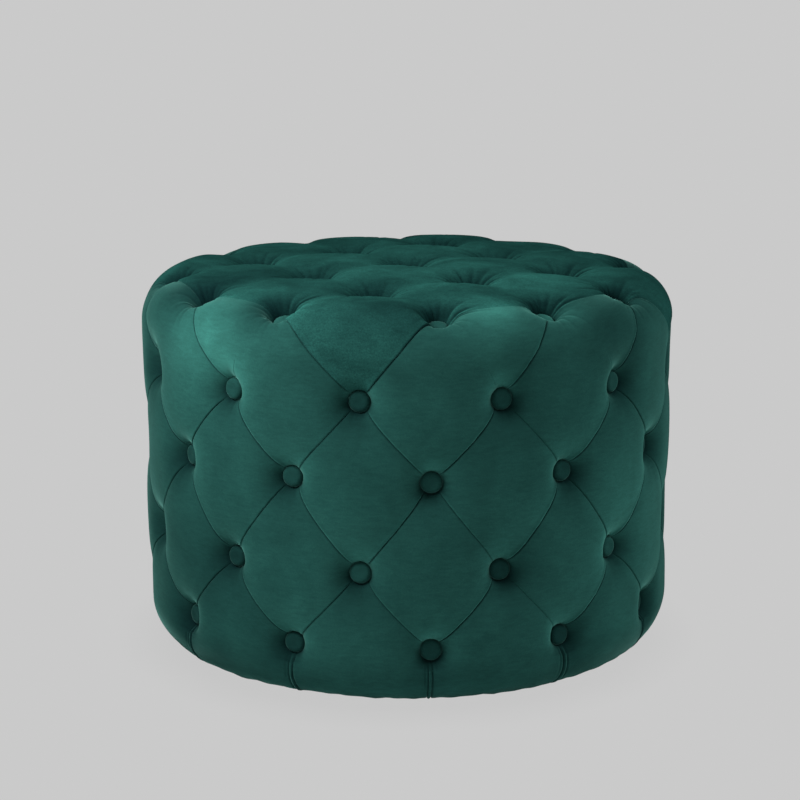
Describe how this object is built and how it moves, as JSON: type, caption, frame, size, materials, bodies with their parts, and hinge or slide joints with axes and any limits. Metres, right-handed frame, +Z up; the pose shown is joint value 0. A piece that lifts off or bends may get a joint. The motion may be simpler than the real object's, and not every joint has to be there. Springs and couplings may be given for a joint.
{
  "type": "drum stool",
  "caption": "Round drum stool, deep-buttoned in velvet over the top and side, rounded at the foot, on low glides; a seat or footrest",
  "frame": {"origin": "on the floor under the middle of the stool", "axes": "+Z is up; the front, as pictured, faces -Y; +X is to the right seen from the front"},
  "size_m": [0.6076, 0.6076, 0.443],
  "materials": {
    "velvet": "deep emerald velvet with a soft sheen",
    "foam": "open-cell polyurethane foam",
    "plywood": "raw birch plywood",
    "pine": "planed softwood",
    "steel": "zinc plated",
    "dust_cloth": "black non-woven cloth",
    "glide_plastic": "moulded, satin"
  },
  "bodies": {
    "root": {"base_ring": "plywood", "base_screw_1": "steel", "base_screw_2": "steel", "base_screw_3": "steel", "base_screw_4": "steel", "base_screw_5": "steel", "base_screw_6": "steel", "buttons_inner": "velvet", "buttons_middle": "velvet", "buttons_outer": "velvet", "buttons_rim": "velvet", "buttons_row_2": "velvet", "buttons_row_3": "velvet", "buttons_row_4": "velvet", "buttons_row_5": "velvet", "deck_screw_1": "steel", "deck_screw_2": "steel", "deck_screw_3": "steel", "deck_screw_4": "steel", "deck_screw_5": "steel", "deck_screw_6": "steel", "dust_cover": "dust_cloth", "glide_1": "glide_plastic", "glide_2": "glide_plastic", "glide_3": "glide_plastic", "glide_4": "glide_plastic", "glide_screw_1": "steel", "glide_screw_2": "steel", "glide_screw_3": "steel", "glide_screw_4": "steel", "post_1": "pine", "post_2": "pine", "post_3": "pine", "post_4": "pine", "post_5": "pine", "post_6": "pine", "side_cover_back": "velvet", "side_cover_front": "velvet", "side_foam": "foam", "top_cover": "velvet", "top_deck": "plywood", "top_foam": "foam", "wall_panel": "plywood"}
  },
  "joints": []
}
